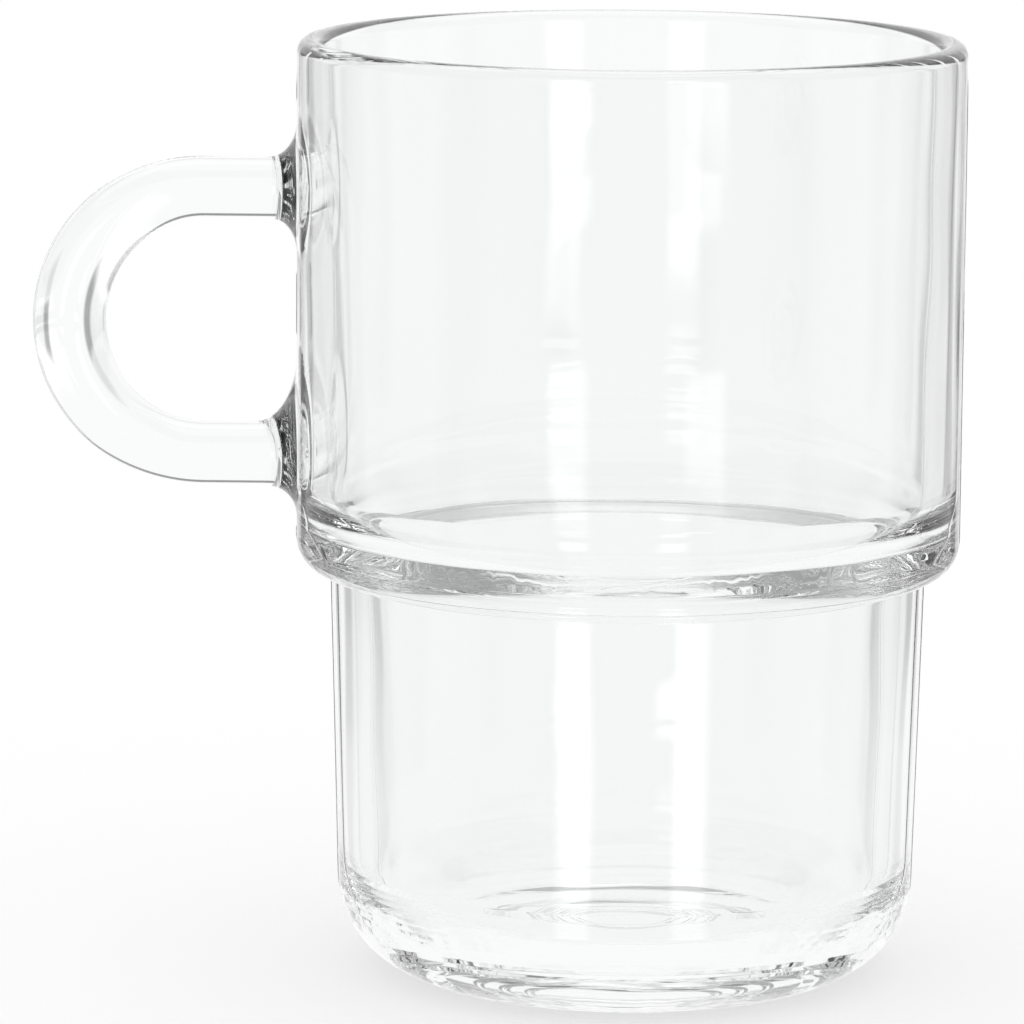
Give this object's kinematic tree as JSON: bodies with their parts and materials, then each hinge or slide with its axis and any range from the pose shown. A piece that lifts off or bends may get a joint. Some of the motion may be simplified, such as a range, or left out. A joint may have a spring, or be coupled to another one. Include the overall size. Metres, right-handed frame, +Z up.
{
  "type": "handled stacking glass",
  "caption": "Clear pressed-glass coffee cup with a wide upper bowl, a stacking shoulder, a narrower lower bowl, a rounded base and a round-bar loop handle.",
  "frame": {"origin": "on the cup's axis, in the plane that the cup stands on", "axes": "+Z up along the cup's axis, -X towards the handle, +Y across the handle's plane"},
  "size_m": [0.0905, 0.065, 0.092],
  "materials": {
    "clear_glass": "clear colourless pressed glass, fire-polished and glossy"
  },
  "bodies": {
    "root": {"bowl": "clear_glass", "handle": "clear_glass"}
  },
  "joints": []
}
